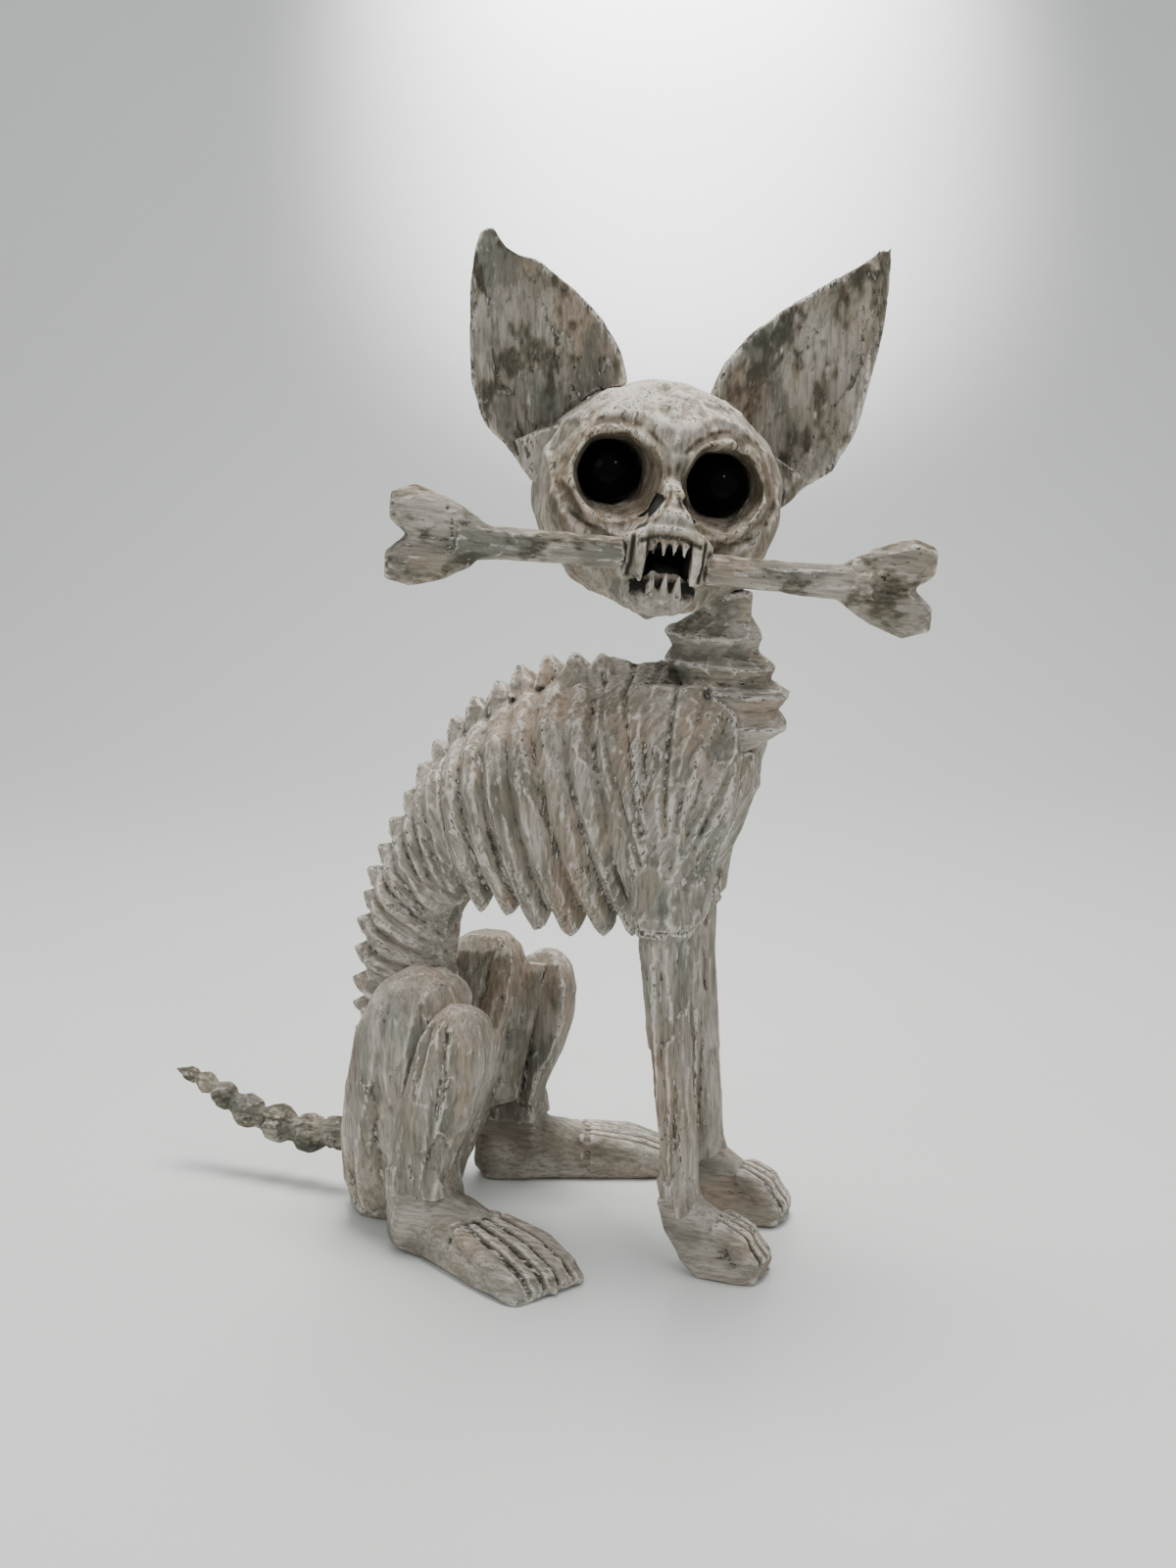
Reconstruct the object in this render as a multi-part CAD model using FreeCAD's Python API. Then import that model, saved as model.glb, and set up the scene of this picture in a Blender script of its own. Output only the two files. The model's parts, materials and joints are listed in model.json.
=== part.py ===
"""Seated skeleton dog carved from wood, with a bone across its mouth.

Frame: the origin is the middle of the seat on the floor, +X is the way the body faces,
+Y is the dog's left side and +Z is up. Millimetres. Every glued, doweled or turning piece
is a solid of its own. The carved pieces are faceted skins over a row of rings.
"""
import FreeCAD
import Part
import math
import os

V = FreeCAD.Vector

# Trunk: outline of the back and of the belly, from the withers down to the seat
SPINE_TIPS = [(134, 352), (117, 352), (100, 351), (81, 344), (66, 334), (50, 324), (36, 311),
              (23, 297), (12, 282), (2, 264), (-8, 246), (-16, 228), (-24, 213), (-28, 198),
              (-32, 181), (-34, 162), (-36, 141), (-36, 125), (-35, 108), (-34, 90), (-37, 71)]
BELLY_TIPS = [(172, 203), (157, 197), (139, 196), (118, 194), (95, 195), (76, 203), (58, 203),
              (45, 199), (38, 196), (35, 192), (33, 188), (31, 182), (31, 174), (29, 166),
              (28, 157), (28, 147), (30, 136), (32, 124), (34, 110), (36, 96), (36, 75)]
HALF_WIDTHS = [50, 51, 52, 52, 50, 47, 42, 36, 32, 30, 29, 28, 28, 28, 28, 28, 29, 33, 38, 43, 46]
RIB_COUNT = 7               # rings of the ribcage, the first of the rows above
WAIST_END = 16              # first ring of the pelvis
RIB_SPIKE = 9               # the spine knobs stand this far out of the chest
WAIST_SPIKE = 6             # and this far out of the waist
KNOB_RISE = 1.3             # how much of that each carved knob keeps at its own point
RIB_GROOVE = 7              # depth of the carved grooves between the ribs
WAIST_GROOVE = 5            # and between the vertebrae of the waist
RIB_GAP = 9                 # the gaps between the rib ends rise this far into the belly
RIB_TIP = 9                 # the rib ends hang this far under the belly

# Legs
FORELEG_X = 185
FORELEG_Y = 51
ELBOW_HEIGHT = 205
WRIST_HEIGHT = 44
LEFT_FORELEG_BACK = 13      # the left foreleg stands this far behind the right one
LEFT_FORELEG_IN = 9         # and this much closer to the middle
GLUE_HALF_WIDTH = 28        # flat inner faces of the shoulders and thighs
ANKLE_HEIGHT = 50
FOOT_HEEL = (34, -65)       # middle of the right heel
FOOT_SPLAY = 27             # degrees, toes outward
FOOT_LENGTH = 136
SHIN_FOOT = (23, 60, 58, 94)    # the ankle joint: back, front, inner and outer edge
WEB_OUTER = 62              # the thigh's web ends here, under the shin

# Head: its own frame has x forward, y to the dog's left and z up
HEAD_CENTRE = V(169, -22, 450)
HEAD_YAW = -64
HEAD_ROLL = -7.5
NECK_AXIS = (205, 0)
SEAM_HEIGHT = 394           # the head turns on top of the neck here
SEAM_GAP = 0.3
ATLAS_RADIUS = 17
ATLAS_HEIGHT = 12.3         # the head leaves this room around the atlas
NECK_SWING_RADIUS = 48      # and this around the neck below it
EYE_SIDE = 31
EYE_HEIGHT = 10
EYE_RADIUS = 17
EYE_FORWARD = 24
SOCKET_RIM = 23.5
MUZZLE_FRONT = 82
JAW_GAP_TOP = -24
JAW_GAP_BOTTOM = -42
MOUTH_HALF_WIDTH = 12.5
BONE_FORWARD = 70
BONE_RADIUS = 8.7
BONE_START = 22.5           # the inner ends, at the muzzle's walls
BONE_LENGTH = 128.5         # each half, from the muzzle wall to the end of the knobs
BONE_RIGHT_HEIGHT = -31     # the halves aren't in line: their heights at the mouth
BONE_LEFT_HEIGHT = -34.5
BONE_RIGHT_DROOP = 2.5      # and how far they droop outward, in degrees
BONE_LEFT_DROOP = -1.5
RIGHT_EAR_DROP = 15         # the right ear is this much shorter at its tip

# Tail beads: centre and radius
TAIL_BEADS = [((-52, 1, 37), 11.5), ((-72, 3, 34), 13), ((-96, 6, 37), 13), ((-119, 9, 42), 11.5),
              ((-138, 12, 49), 9.5), ((-153, 14, 56), 7.5), ((-164, 15, 60), 5.5)]
TAIL_TIP = (-177, 16, 63)
TAIL_FACE_X = -40.4
TAIL_HEIGHT = 38
TAIL_ROOT_RADIUS = 6

# Dowels
DOWEL_FIT = 0.05            # radial clearance of every dowel in its hole
TRUNK_DOWEL = 6             # radii
LEG_DOWEL = 4
HEAD_DOWEL = 6
SMALL_DOWEL = 2.5

# One half of the trunk's section, from the spine down: share of the height, share of the width
TRUNK_SECTION = [(0, 0), (0.015, 0.14), (0.06, 0.42), (0.17, 0.76), (0.34, 0.96), (0.54, 1),
                 (0.74, 0.94), (0.90, 0.76), (1, 0.50), (0.96, 0)]
# The same for a foot or a paw: round on top and flat below
SOLE_SECTION = [(0, 0), (0.04, 0.40), (0.20, 0.78), (0.55, 1), (0.90, 0.98), (1, 0.88), (1, 0)]


def skin(rings):
    """A closed faceted solid over rings of equal length, each end closed by a fan."""
    count = len(rings[0])
    triangles = []
    for near, far in zip(rings, rings[1:]):
        for i in range(count):
            j = (i + 1) % count
            triangles.append((near[i], near[j], far[j]))
            triangles.append((near[i], far[j], far[i]))
    for ring in (rings[0], rings[-1]):
        middle = sum(ring, V()) / count
        for i in range(count):
            triangles.append((ring[i], ring[(i + 1) % count], middle))
    faces = [Part.Face(Part.makePolygon([a, b, c, a])) for a, b, c in triangles]
    shell = Part.makeShell(faces)
    shell.sewShape()
    solid = Part.makeSolid(shell)
    if solid.Volume < 0:
        solid.reverse()
    return solid.removeSplitter()


def largest(shape):
    """The main solid of a cut, without any crumbs."""
    return max(shape.Solids, key=lambda solid: solid.Volume)


def mirrored(shape):
    """The same piece on the dog's other side."""
    return shape.mirror(V(), V(0, 1, 0))


def hoop(top, bottom, half_width, section, y=0, spike=0, tip=0):
    """A ring in the plane that holds the Y direction and runs from top to bottom, both (x, z).

    The spike lifts the spine point and the tip lowers the points beside the belly line.
    """
    top = V(top[0], 0, top[1])
    bottom = V(bottom[0], 0, bottom[1])
    outward = (top - bottom).normalize()
    half = []
    for along, side in section:
        point = top + (bottom - top) * along
        if along == 0:
            point = point + outward * spike
        if along == 1:
            point = point - outward * tip
        half.append((point, side * half_width))
    ring = [point + V(0, y + side, 0) for point, side in half]
    ring += [point + V(0, y - side, 0) for point, side in reversed(half[1:-1])]
    return ring


def oval(centre, radius_x, radius_y, count=12):
    """A level ring around a centre."""
    ring = []
    for i in range(count):
        turn = 2 * math.pi * i / count
        ring.append(centre + V(radius_x * math.cos(turn), radius_y * math.sin(turn), 0))
    return ring


def box_ring(z, back, front, inner, outer, round_share=0.34):
    """A level ring with clipped outer corners, for a carved block on the dog's right side."""
    clip_x = (front - back) * 0.28
    clip_y = (outer - inner) * round_share
    corners = [(back, inner), (back, outer - clip_y), (back + clip_x, outer),
               (front - clip_x, outer), (front, outer - clip_y), (front, inner)]
    return [V(x, -y, z) for x, y in corners]


def dowel(middle, direction, radius, length):
    """A pair: the dowel, and the hole it needs."""
    direction = V(direction).normalize()
    start = middle - direction * (length / 2)
    pin = Part.makeCylinder(radius, length, start, direction)
    deeper = start - direction
    hole = Part.makeCylinder(radius + DOWEL_FIT, length + 2, deeper, direction)
    return pin, hole


def drill(shape, dowels):
    """The shape with the holes of the dowels that pass through it."""
    for _, hole in dowels:
        shape = shape.cut(hole)
    return largest(shape)


# ---------------------------------------------------------------- trunk

def blend(values, place):
    """The value, or (x, z) point, at a fractional place in a row."""
    low = min(int(place), len(values) - 2)
    share = place - low
    first, second = values[low], values[low + 1]
    if isinstance(first, tuple):
        return tuple(a + (b - a) * share for a, b in zip(first, second))
    return first + (second - first) * share


def trunk_ring(place, spike_share, depth):
    """The ring at a fractional place along the trunk, carved this deep under the ribs."""
    on_chest = place < RIB_COUNT - 0.4
    spike = RIB_SPIKE if on_chest else WAIST_SPIKE
    tip = RIB_TIP if on_chest else 0
    spine = blend(SPINE_TIPS, place)
    belly = blend(BELLY_TIPS, place)
    inward = V(belly[0] - spine[0], 0, belly[1] - spine[1]).normalize()
    top = V(spine[0], 0, spine[1]) + inward * (spike + depth / 2)
    gap = RIB_GAP * depth / RIB_GROOVE if on_chest else 0
    bottom = V(belly[0], 0, belly[1]) - inward * gap
    half_width = blend(HALF_WIDTHS, place) + 1 - depth
    return hoop((top.x, top.z), (bottom.x, bottom.z), half_width, TRUNK_SECTION,
                spike=spike * spike_share * KNOB_RISE,
                tip=tip * spike_share)


def groove_ring(index):
    """The ring in the groove behind a rib or vertebra."""
    depth = RIB_GROOVE if index < RIB_COUNT - 1 else WAIST_GROOVE
    return trunk_ring(index + 0.5, 0, depth)


def trunk_rings(first, last):
    """Each rib or vertebra: a broad band that leans back to its knob, then a narrow groove."""
    rings = []
    for index in range(first, last):
        if index > first:
            rings.append(trunk_ring(index - 0.26, 0.5, 0.6))
        rings.append(trunk_ring(index + 0.12, 1, 0))
        rings.append(groove_ring(index))
    return rings


def make_ribcage():
    chest = [((226, 303), (226, 291), 10), ((218, 312), (221, 272), 24), ((206, 322), (212, 250), 34),
             ((188, 339), (200, 228), 42), ((170, 352), (188, 212), 47), ((152, 350), (176, 205), 49)]
    rings = [hoop(top, bottom, width, TRUNK_SECTION) for top, bottom, width in chest]
    return skin(rings + trunk_rings(0, RIB_COUNT))


def make_waist():
    return skin([groove_ring(RIB_COUNT - 1)] + trunk_rings(RIB_COUNT, WAIST_END))


def make_pelvis():
    last = len(SPINE_TIPS) - 1
    rings = [groove_ring(WAIST_END - 1)] + trunk_rings(WAIST_END, last) + [trunk_ring(last, 1, 0)]
    seat = [((-39.5, 52), (34, 54), 49), ((-39.5, 22), (30, 24), 49), ((-36, 5), (25, 5), 46),
            ((-32, 0), (21, 0), 42)]
    rings += [hoop(top, bottom, width, TRUNK_SECTION) for top, bottom, width in seat]
    return skin(rings)


def make_neck():
    """Four pointed vertebrae, and the atlas that carries the head."""
    x, y = NECK_AXIS
    rings = [oval(V(x, y, SEAM_HEIGHT), ATLAS_RADIUS - 1, ATLAS_RADIUS - 1),
             oval(V(x - 2, y, 381), ATLAS_RADIUS, ATLAS_RADIUS)]
    vertebrae = [((168, 371), (227, 367), 29), ((168, 355), (236, 350), 32),
                 ((180, 340), (245, 334), 34), ((184, 322), (243, 315), 34)]
    grooves = [((174, 363), (224, 359), 25), ((176, 348), (232, 342), 28),
               ((184, 331), (236, 325), 31), ((186, 302), (224, 302), 27)]
    for (back, front, width), (back_in, front_in, width_in) in zip(vertebrae, grooves):
        for start, end, half in ((back, front, width), (back_in, front_in, width_in)):
            middle = V((start[0] + end[0]) / 2, 0, (start[1] + end[1]) / 2)
            ring = oval(middle, (end[0] - start[0]) / 2, half)
            slope = (end[1] - start[1]) / (end[0] - start[0])
            rings.append([point + V(0, 0, slope * (point.x - middle.x)) for point in ring])
    return skin(rings)


# ---------------------------------------------------------------- legs, on the right side

def make_shoulder(back_shift, in_shift):
    """Shoulder blade and upper arm. The shifts move the elbow and fade out to the withers."""
    levels = [(ELBOW_HEIGHT, 167, 203, 36, 67), (211, 163, 206, 32, 69), (218, 165, 206, 28, 66),
              (240, 154, 211, 28, 64), (272, 146, 221, 28, 60), (302, 144, 225, 28, 54),
              (326, 148, 222, 28, 46), (342, 158, 208, 28, 36)]
    rings = []
    for z, back, front, inner, outer in levels:
        share = (levels[-1][0] - z) / (levels[-1][0] - ELBOW_HEIGHT)
        inner = max(GLUE_HALF_WIDTH, inner - in_shift * share)
        rings.append(box_ring(z, back - back_shift * share, front - back_shift * share,
                              inner, outer - in_shift * share, 0.62 - 0.28 * share))
    return skin(rings)


def make_foreleg():
    levels = [(ELBOW_HEIGHT, 0, 17.5, 15.5), (190, 1, 15.5, 14), (150, 3, 13.5, 12.5),
              (113, 6, 12.3, 11.8), (75, 9, 11.8, 11.5), (WRIST_HEIGHT, 10, 12, 11.5)]
    return skin([oval(V(FORELEG_X + lean, -FORELEG_Y, z), rx, ry) for z, lean, rx, ry in levels])


def make_paw():
    stations = [((207, WRIST_HEIGHT), (183, WRIST_HEIGHT), 11.5), ((214, 40), (189, 24), 13),
                ((225, 32), (202, 6), 16), ((234, 26), (210, 0), 18.5), ((244, 17), (230, 0), 20),
                ((250, 9), (246, 0), 18)]
    rings = [hoop(top, bottom, width, SOLE_SECTION, y=-FORELEG_Y) for top, bottom, width in stations]
    return skin(rings)


def make_thigh():
    """A carved block, with a web that reaches forward to the inside of the knee."""
    levels = [(8, -18, 18, 28, 50), (22, -24, 26, 28, 57), (50, -24, 36, 28, 65), (90, -17, 47, 28, 73),
              (125, -9, 55, 28, 77), (145, 0, 58, 30, 76), (157, 10, 55, 34, 71), (165, 24, 46, 42, 61)]
    thigh = skin([box_ring(*level) for level in levels])
    web = [(52, 28, 56, 32), (90, 36, 66, 32), (125, 44, 75, 34), (146, 44, 73, 38)]
    rings = [[V(back, -inner, z), V(back, -WEB_OUTER, z), V(front, -WEB_OUTER, z)]
             for z, back, front, inner in web]
    return largest(thigh.fuse(skin(rings)))


def make_shin():
    levels = [(ANKLE_HEIGHT, *SHIN_FOOT), (64, 24, 64, 57, 94), (84, 28, 74, 57, 96),
              (108, 36, 82, 57, 95), (130, 43, 84, 57, 91), (143, 50, 81, 60, 86), (151, 59, 74, 66, 79)]
    return skin([box_ring(*level) for level in levels])


def make_hind_foot():
    """A sole that spreads to the toes, with the ankle block standing on its heel."""
    stations = [(-11, 27, 14), (-4, 34, 19), (36, 37, 22), (58, 29, 25), (88, 22, 29),
                (FOOT_LENGTH - 22, 13, 31), (FOOT_LENGTH - 14, 6, 28)]
    rings = [hoop((x, height), (x, 0), half, SOLE_SECTION) for x, height, half in stations]
    sole = skin(rings)
    sole.rotate(V(), V(0, 0, 1), -FOOT_SPLAY)
    sole.translate(V(*FOOT_HEEL, 0))
    levels = [(ANKLE_HEIGHT, *SHIN_FOOT), (24, 20, 64, 55, 96), (4, 20, 60, 52, 93)]
    return largest(sole.fuse(skin([box_ring(*level) for level in levels])))


# ---------------------------------------------------------------- head

def on_head(shape):
    """Move a piece from the head's own frame to its place on the neck."""
    place = FreeCAD.Placement(HEAD_CENTRE, FreeCAD.Rotation(HEAD_YAW, 0, HEAD_ROLL))
    return shape.transformGeometry(place.toMatrix())


def head_ring(forward, half_width, top, bottom):
    """A ring of the skull across its forward axis."""
    middle = (top + bottom) / 2
    half_height = (top - bottom) / 2
    ring = []
    for i in range(16):
        turn = 2 * math.pi * (i + 0.5) / 16
        ring.append(V(forward, half_width * math.cos(turn), middle + half_height * math.sin(turn)))
    return ring


def block_ring(forward, half_width, top, bottom):
    """A ring of the muzzle: a block with clipped corners."""
    clip = 0.25 * (top - bottom)
    narrow = half_width * 0.68
    corners = [(half_width, top - clip), (narrow, top), (-narrow, top), (-half_width, top - clip),
               (-half_width, bottom + clip), (-narrow, bottom), (narrow, bottom),
               (half_width, bottom + clip)]
    return [V(forward, y, z) for y, z in corners]


def tooth(middle_y, half_width, root_z, point_z, forward):
    """A four-sided pointed tooth."""
    root = [V(forward - 5, middle_y - half_width, root_z), V(forward, middle_y - half_width, root_z),
            V(forward, middle_y + half_width, root_z), V(forward - 5, middle_y + half_width, root_z)]
    middle = V(forward - 2, middle_y, point_z)
    tip = [middle + (corner - V(forward - 2.5, middle_y, root_z)) * 0.2 for corner in root]
    tip = [V(point.x, point.y, point_z) for point in tip]
    return skin([root, tip])


def make_skull():
    """Braincase, face, upper jaw and the walls beside the mouth."""
    case = [(-66, 14, 20, -6), (-56, 38, 44, -26), (-38, 58, 60, -46), (-12, 70, 64, -61),
            (16, 71, 63, -65), (36, 65, 54, -65), (52, 56, 39, -60), (59, 42, 24, -55)]
    skull = skin([head_ring(*ring) for ring in case])
    nose = [(40, 17, 12, -30), (58, 13, 7, -30), (72, 12, 1, -30), (MUZZLE_FRONT, 13, -5, -24)]
    lips = [(40, 27, -8, JAW_GAP_BOTTOM), (62, 23, -12, JAW_GAP_BOTTOM),
            (76, 22, -15, JAW_GAP_BOTTOM), (MUZZLE_FRONT, 19, -17, JAW_GAP_BOTTOM)]
    for rings in (nose, lips):
        skull = skull.fuse(skin([block_ring(*ring) for ring in rings]))
    mouth = Part.makeBox(30, 2 * MOUTH_HALF_WIDTH, JAW_GAP_TOP - JAW_GAP_BOTTOM,
                         V(60, -MOUTH_HALF_WIDTH, JAW_GAP_BOTTOM))
    skull = skull.cut(mouth)
    for y in (-9, -3, 3, 9):
        skull = skull.fuse(tooth(y, 2.4, JAW_GAP_TOP + 1, JAW_GAP_TOP - 8, MUZZLE_FRONT - 2))
    for side in (-1, 1):
        skull = skull.fuse(tooth(side * 16, 3.6, JAW_GAP_TOP, JAW_GAP_BOTTOM + 0.3, MUZZLE_FRONT + 3))
        start = V(20, side * EYE_SIDE, EYE_HEIGHT)
        socket = Part.makeCone(EYE_RADIUS - 0.5, SOCKET_RIM + 2, 45, start, V(1, 0, 0))
        skull = skull.cut(socket)
    return largest(skull)


def make_lower_jaw():
    stations = [(22, 24, JAW_GAP_BOTTOM, -66), (50, 23, JAW_GAP_BOTTOM, -64),
                (74, 20, JAW_GAP_BOTTOM, -61), (MUZZLE_FRONT - 2, 17, JAW_GAP_BOTTOM, -57)]
    jaw = skin([block_ring(*ring) for ring in stations])
    front = MUZZLE_FRONT - 4
    jaw = jaw.fuse(Part.makeBox(8, 22, 6, V(front - 8, -11, JAW_GAP_BOTTOM - 6)))
    for y in (-7, 0, 7):
        jaw = jaw.fuse(tooth(y, 3, JAW_GAP_BOTTOM - 1, JAW_GAP_BOTTOM + 6, front))
    return largest(jaw)


def make_ear(tip_drop):
    """The left ear: a leaf hollowed on its front face, wide at the base and pointed at the tip."""
    edges = [((30, 40), (74, 2)), ((24, 58), (94, 14)), ((30, 77), (104, 34)), ((42, 96), (112, 52)),
             ((58, 111), (116, 82)), ((76, 125), (119, 108)), ((95, 139), (119, 132)),
             ((110, 151), (117, 148))]
    rings = []
    for i, (inner, outer) in enumerate(edges):
        share = i / (len(edges) - 1)
        hollow = 22 * (1 - share)
        wall = 9 - 4 * share
        forward = 4 - 8 * share
        front = []
        back = []
        for step in range(6):
            across = step / 5
            y = inner[0] + (outer[0] - inner[0]) * across
            z = inner[1] + (outer[1] - inner[1]) * across - tip_drop * share ** 2
            dip = hollow * math.sin(math.pi * across)
            front.append(V(forward - dip, y, z))
            back.append(V(forward - dip - wall, y, z))
        rings.append(front + back[::-1])
    return skin(rings)


def make_bone_half():
    """The left half: a faceted shaft with a two-lobed end."""
    end = BONE_START + BONE_LENGTH
    shaft = [(BONE_START, BONE_RADIUS), (BONE_START + 30, BONE_RADIUS), (end - 56, BONE_RADIUS + 0.6),
             (end - 36, BONE_RADIUS + 4)]
    rings = [[V(r * math.cos(t), y, r * math.sin(t)) for t in [math.pi * i / 4 for i in range(8)]]
             for y, r in shaft]
    half = skin(rings)
    for sign in (-1, 1):
        lobe = []
        for share, r in ((0, 8), (0.3, 13.5), (0.72, 15.5), (1, 8)):
            centre = V(0, end - 50 + 50 * share, sign * (4 + 12 * share))
            lobe.append([centre + V(0.62 * r * math.cos(math.pi * i / 4), 0,
                                    r * math.sin(math.pi * i / 4)) for i in range(8)])
        half = half.fuse(skin(lobe))
    return largest(half.removeSplitter())


def hang_bone(half, side, height, droop):
    """Set a bone half beside the muzzle, its inner end at this height, drooping outward."""
    if side < 0:
        half = mirrored(half)
    half = half.copy()
    half.rotate(V(0, side * BONE_START, 0), V(1, 0, 0), -side * droop)
    half.translate(V(BONE_FORWARD, 0, height))
    return half


def make_tail():
    """Seven carved beads that shrink towards a pointed tip."""
    centres = [V(*centre) for centre, _ in TAIL_BEADS] + [V(*TAIL_TIP)]
    turns = [math.pi * i / 6 for i in range(12)]
    rings = [[V(TAIL_FACE_X, TAIL_ROOT_RADIUS * math.cos(t), TAIL_HEIGHT + TAIL_ROOT_RADIUS * math.sin(t))
              for t in turns]]
    for index, (_, radius) in enumerate(TAIL_BEADS):
        along = (centres[index + 1] - centres[index]).normalize()
        side = along.cross(V(0, 0, 1)).normalize()
        up = side.cross(along)
        for share, scale in ((-0.75, 0.62), (-0.35, 0.93), (0.25, 0.97), (0.72, 0.66)):
            centre = centres[index] + along * (radius * share)
            reach = radius * scale
            rings.append([centre + side * (reach * math.cos(t)) + up * (reach * math.sin(t))
                          for t in turns])
    rings.append([centres[-1] + V(0, 0.8 * math.cos(t), 0.8 * math.sin(t)) for t in turns])
    return skin(rings)


# ---------------------------------------------------------------- assembly

def build_body():
    """The seated body with its legs: a dictionary of nodes."""
    neck = make_neck()
    shoulders = {"right": make_shoulder(0, 0),
                 "left": mirrored(make_shoulder(LEFT_FORELEG_BACK, LEFT_FORELEG_IN))}
    set_back = V(-LEFT_FORELEG_BACK, -LEFT_FORELEG_IN, 0)
    forelegs = {"right": make_foreleg(), "left": mirrored(make_foreleg()).translate(set_back)}
    paws = {"right": make_paw(), "left": mirrored(make_paw()).translate(set_back)}
    thigh, shin, foot = make_thigh(), make_shin(), make_hind_foot()
    thigh = largest(thigh.cut(shin).cut(foot))
    thighs = {"right": thigh, "left": mirrored(thigh)}
    shins = {"right": shin, "left": mirrored(shin)}
    feet = {"right": foot, "left": mirrored(foot)}

    trunk = {"ribcage": make_ribcage(), "waist": make_waist(), "pelvis": make_pelvis()}
    for name in trunk:
        for tool in (neck, *shoulders.values(), *forelegs.values(), *thighs.values(), *feet.values()):
            trunk[name] = trunk[name].cut(tool)
        trunk[name] = largest(trunk[name])
    for side in shoulders:
        shoulders[side] = largest(shoulders[side].cut(neck))

    waist_joint = groove_ring(WAIST_END - 1)
    chest_joint = groove_ring(RIB_COUNT - 1)
    trunk_pins = [joint_dowel(waist_joint, 44), joint_dowel(chest_joint, 44),
                  dowel(V(205, 0, 304), (0, 0, 1), TRUNK_DOWEL, 44)]
    head_pin = dowel(V(*NECK_AXIS, SEAM_HEIGHT - 6), (0, 0, 1), HEAD_DOWEL, 52)
    tail_pin = dowel(V(TAIL_FACE_X, 0, TAIL_HEIGHT), (1, 0, 0), LEG_DOWEL, 26)

    leg_pins = []
    for side, sign, back, inward in (("right", -1, 0, 0),
                                     ("left", 1, LEFT_FORELEG_BACK, LEFT_FORELEG_IN)):
        leg_x = FORELEG_X - back
        leg_y = sign * (FORELEG_Y - inward)
        elbow = dowel(V(leg_x, leg_y, ELBOW_HEIGHT), (0, 0, 1), LEG_DOWEL, 32)
        wrist = dowel(V(leg_x + 10, leg_y, WRIST_HEIGHT), (0, 0, 1), LEG_DOWEL - 1, 24)
        blade = dowel(V(190, sign * GLUE_HALF_WIDTH, 285), (0, 1, 0), LEG_DOWEL, 30)
        hip = dowel(V(8, sign * GLUE_HALF_WIDTH, 78), (0, 1, 0), LEG_DOWEL, 30)
        knee = dowel(V(45, sign * 57, 112), (0, 1, 0), LEG_DOWEL - 1, 26)
        ankle = dowel(V(42, sign * 76, ANKLE_HEIGHT), (0, 0, 1), LEG_DOWEL, 30)
        leg_pins += [elbow, wrist, blade, hip, knee, ankle]
        shoulders[side] = drill(shoulders[side], [elbow, blade])
        forelegs[side] = drill(forelegs[side], [elbow, wrist])
        paws[side] = drill(paws[side], [wrist])
        trunk["ribcage"] = drill(trunk["ribcage"], [blade])
        trunk["pelvis"] = drill(trunk["pelvis"], [hip])
        thighs[side] = drill(thighs[side], [hip, knee])
        shins[side] = drill(shins[side], [knee, ankle])
        feet[side] = drill(feet[side], [ankle])

    nodes = {"ribcage": drill(trunk["ribcage"], trunk_pins[1:]),
             "waist": drill(trunk["waist"], trunk_pins[:2]),
             "pelvis": drill(trunk["pelvis"], [trunk_pins[0], tail_pin]),
             "neck": drill(neck, [trunk_pins[2], head_pin]),
             "trunk_dowels": group(trunk_pins),
             "leg_dowels": group(leg_pins),
             "head_dowel": head_pin[0],
             "tail_dowel": tail_pin[0],
             "tail": drill(make_tail(), [tail_pin])}
    for side in ("right", "left"):
        nodes[side + "_shoulder"] = shoulders[side]
        nodes[side + "_foreleg"] = forelegs[side]
        nodes[side + "_front_paw"] = paws[side]
        nodes[side + "_thigh"] = thighs[side]
        nodes[side + "_shin"] = shins[side]
        nodes[side + "_hind_foot"] = feet[side]
    return nodes, head_pin


def joint_dowel(ring, length):
    """A dowel square through the middle of a trunk joint."""
    top = ring[0]
    bottom = ring[len(ring) // 2]
    square = (top - bottom).cross(V(0, 1, 0))
    return dowel((top + bottom) / 2, square, TRUNK_DOWEL, length)


def group(pairs):
    return Part.makeCompound([pin for pin, _ in pairs])


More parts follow.
